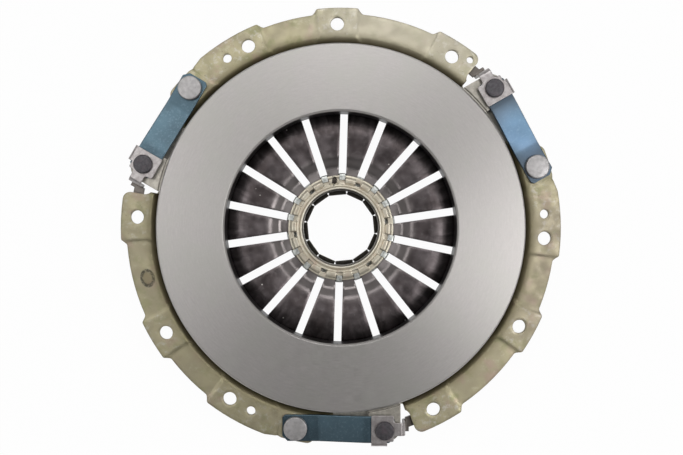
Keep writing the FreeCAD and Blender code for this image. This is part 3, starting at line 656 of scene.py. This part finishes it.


# Stop clips: 1.6 mm steel strip, blanked and bent, bare and satin. Each lies under a dark
# rivet, and its tongue reaches under the cover so that the plate can't fall out.
# Bare strip is satin grey to the eye; painted shade turns it dark brown down its lower skirts and tongue.
strip, tree, shader, place = new_material("satin steel strip")
height = round_about(tree, place)[2]
colour = blended(tree, step(tree, noise(tree, place, 3, 3), 0.35, 0.65), "#958f8e", "#aaa5a4")
colour = blended(tree, step(tree, noise(tree, place, 1.4, 4), 0.55, 0.7, 0, 0.4), colour, "#c3bfbc")
# Painted shade, darker the lower the strip lies.
colour = blended(tree, step(tree, height, -2.0 * MM, 4.0 * MM, 0.75, 0.0), colour, "#4a4238")
# Painted shade in the folds and under the rivet.
colour = shaded_in_corners(tree, colour, 3, "#1e1b1a", 0.9)
tree.links.new(colour, shader.inputs["Base Color"])
shader.inputs["Metallic"].default_value = 0.65
shader.inputs["Roughness"].default_value = 0.32
surfaced(tree, shader, noise(tree, place, 1.0, 3), 0.04, 0.6, 0.7)
for letter in "abc":
    dressed("stop_clip_" + letter, "clip_" + letter, strip, "pressure_plate")


# Release collar: turned steel with pale passivated zinc. Its flange lies on the finger tips,
# gripped there by the tabs of a ring below, and its neck takes the release bearing.
# The coat is a smooth cream to the eye, with a soft shine and faint pink clouds.
pale_zinc, tree, shader, place = new_material("pale passivated zinc on turned steel")
radius = round_about(tree, place)[0]
colour = blended(tree, step(tree, noise(tree, place, 8, 3), 0.35, 0.65), "#c4baa7", "#d3ccba")
colour = blended(tree, step(tree, noise(tree, place, 5, 4), 0.52, 0.7, 0, 0.5), colour, "#cbb6a4")
# Painted light: the outer band of the flange is painted paler.
colour = blended(tree, step(tree, radius, 31 * MM, 35 * MM, 0, 0.4), colour, "#e9e3cf")
# Painted highlight: the inner rim is painted bright, as its rounded edge catches the lamps.
colour = blended(tree, step(tree, radius, 26.9 * MM, 27.7 * MM, 0.65, 0.0), colour, "#f1ebdb")
# Smear of dark grease over the ring, about 4 by 6 mm.
at = add(tree, "ShaderNodeMapping", {
    "Vector": place, "Location": (-4.1 * MM, 31.4 * MM, 0.0), "Scale": (2.1 * MM, 3.4 * MM, 20 * MM)},
    vector_type="TEXTURE").outputs[0]
smear = add(tree, "ShaderNodeVectorMath", {0: at}, operation="LENGTH").outputs["Value"]
smear = sums(tree, "ADD", smear, step(tree, noise(tree, place, 1.5, 4), 0.2, 0.8, -0.6, 0.6))
colour = blended(tree, step(tree, smear, 0.8, 1.1, 0.95, 0.0), colour, "#1f1512")
# Painted shade in the steps and windows of the collar, brown.
colour = shaded_in_corners(tree, colour, 1.2, "#4a3d2c", 0.8)
tree.links.new(colour, shader.inputs["Base Color"])
shader.inputs["Metallic"].default_value = 0.5
shader.inputs["Roughness"].default_value = 0.3
surfaced(tree, shader, noise(tree, place, 1.2, 3), 0.03, 0.5, 1.1)
dressed("release_collar", "collar", pale_zinc, "release_ring")


# Tab ring: 1.2 mm steel strip, blanked and zinc plated, under the fingers. In two of each
# three slots a tab rises and is folded in over the collar's flange, which holds both together.
def tabs(tree, size):
    """Flat ring, and tabs that rise through the slots and fold inwards."""
    half = sums(tree, "MULTIPLY", size["Sheet"], 0.5)
    mid_z = sums(tree, "ADD", size["Bottom"], half)
    ring_r = sums(tree, "SUBTRACT", size["Outer radius"], sums(tree, "MULTIPLY", size["Ring width"], 0.5))
    hoop = add(tree, "GeometryNodeCurvePrimitiveCircle", {"Resolution": 144, "Radius": ring_r}).outputs[0]
    strip = add(tree, "GeometryNodeCurvePrimitiveQuadrilateral", {
        "Width": size["Ring width"], "Height": size["Sheet"]}).outputs[0]
    flat = add(tree, "GeometryNodeCurveToMesh", {"Curve": hoop, "Profile Curve": strip}).outputs[0]
    flat = add(tree, "GeometryNodeTransform", {
        0: flat, "Translation": add(tree, "ShaderNodeCombineXYZ", {2: mid_z}).outputs[0]}).outputs[0]
    side = sums(tree, "SUBTRACT", size["Outer radius"], half)
    lid = sums(tree, "SUBTRACT", size["Top"], half)
    tip = sums(tree, "SUBTRACT", size["Outer radius"], size["Reach"])
    up = add(tree, "GeometryNodeCurvePrimitiveLine", {
        "Start": add(tree, "ShaderNodeCombineXYZ", {0: side, 2: size["Bottom"]}).outputs[0],
        "End": add(tree, "ShaderNodeCombineXYZ", {0: side, 2: lid}).outputs[0]}).outputs[0]
    points = add(tree, "GeometryNodeResampleCurve", {"Curve": up, "Count": 3}).outputs[0]
    last = sums(tree, "COMPARE", add(tree, "GeometryNodeInputIndex").outputs[0], 2.0, 0.1)
    middle = sums(tree, "COMPARE", add(tree, "GeometryNodeInputIndex").outputs[0], 1.0, 0.1)
    corner = add(tree, "ShaderNodeCombineXYZ", {0: side, 2: lid}).outputs[0]
    bent = add(tree, "GeometryNodeSetPosition", {0: points, "Selection": middle, "Position": corner}).outputs[0]
    bent = add(tree, "GeometryNodeSetPosition", {
        0: bent, "Selection": last,
        "Position": add(tree, "ShaderNodeCombineXYZ", {0: tip, 2: lid}).outputs[0]}).outputs[0]
    folded = add(tree, "GeometryNodeFilletCurve", {
        "Curve": bent, "Radius": size["Bend"], "Count": 6}, mode="POLY").outputs[0]
    section = add(tree, "GeometryNodeCurvePrimitiveQuadrilateral", {
        "Width": size["Sheet"], "Height": size["Tab width"]}).outputs[0]
    tab = add(tree, "GeometryNodeCurveToMesh", {
        "Curve": folded, "Profile Curve": section, "Fill Caps": True}).outputs[0]
    # The first of each three slots stays empty.
    slot = sums(tree, "MODULO", add(tree, "GeometryNodeInputIndex").outputs[0], 3.0)
    held = sums(tree, "SUBTRACT", 1.0, sums(tree, "COMPARE", slot, 0.0, 0.1))
    both = add(tree, "GeometryNodeJoinGeometry", {0: flat})
    pitch = 360 / finger_count
    tree.links.new(all_round(tree, tab, size["Slots"], size["First angle"], pitch, held), both.inputs[0])
    return both.outputs[0]


# Bright zinc is paler and bluer to the eye than the collar, so that each tab stands out.
tab_zinc, tree, shader, place = new_material("bright zinc on folded strip")
colour = blended(tree, step(tree, noise(tree, place, 2), 0.35, 0.65), "#aeb1ad", "#d6d8d4")
# Painted shade in the folds of the tabs and under the collar.
colour = shaded_in_corners(tree, colour, 1.8, "#3c3a36", 0.9)
tree.links.new(colour, shader.inputs["Base Color"])
shader.inputs["Metallic"].default_value = 0.75
shader.inputs["Roughness"].default_value = 0.3
surfaced(tree, shader, noise(tree, place, 1.0), 0.03, 0.5)
grown("tabs", {
    "Outer radius": 36.6 * MM, "Ring width": 7.0 * MM, "Sheet": 1.2 * MM, "Bottom": -15.655 * MM,
    "Top": -8.355 * MM, "Reach": 4.6 * MM, "Bend": 0.8 * MM, "Tab width": 3.8 * MM, "Slots": finger_count,
    "First angle": first_slot}, tabs, tab_zinc, "release_ring", "tab_ring")


# Bearing retainer: ring of twelve petals pressed from 0.9 mm spring steel and phosphated, which
# spring under the release bearing's groove. It lies on the step of the bearing seat. To the eye
# it is a dark satin grey that shows mostly as thin lines of light on the petals' edges.
phosphate, _, shader, _ = new_material("black phosphated spring steel")
shader.inputs["Base Color"].default_value = linear("#55524d")
shader.inputs["Metallic"].default_value = 0.6
shader.inputs["Roughness"].default_value = 0.36
dressed("bearing_retainer", "petals", phosphate, "release_ring")


# Wire rings: drawn spring wire closed to a hoop. One locks the bearing inside the collar, the
# other lies in the cover's corner, and the diaphragm spring's rim turns on it.
def hoop_of_wire(tree, size):
    """Round wire along a circle."""
    path = add(tree, "GeometryNodeCurvePrimitiveCircle", {"Resolution": 192, "Radius": size["Hoop radius"]})
    wire = add(tree, "GeometryNodeCurvePrimitiveCircle", {"Resolution": 20, "Radius": size["Wire radius"]})
    swept = add(tree, "GeometryNodeCurveToMesh", {"Curve": path.outputs[0], "Profile Curve": wire.outputs[0]})
    spot = add(tree, "ShaderNodeCombineXYZ", {2: size["Height"]}).outputs[0]
    return add(tree, "GeometryNodeTransform", {0: swept.outputs[0], "Translation": spot}).outputs[0]


# Drawn wire is a smooth mid grey to the eye, with one bright line along it.
wire, _, shader, _ = new_material("drawn spring wire")
shader.inputs["Base Color"].default_value = linear("#8b8986")
shader.inputs["Metallic"].default_value = 0.9
shader.inputs["Roughness"].default_value = 0.35
grown("snap_wire", {"Hoop radius": 25.4 * MM, "Wire radius": 0.6 * MM, "Height": -14.455 * MM}, hoop_of_wire,
      wire, "release_ring", "snap_ring")
grown("pivot_wire", {"Hoop radius": 115.0 * MM, "Wire radius": 2.0 * MM, "Height": -21.3 * MM}, hoop_of_wire,
      wire, "cover", "pivot_ring")
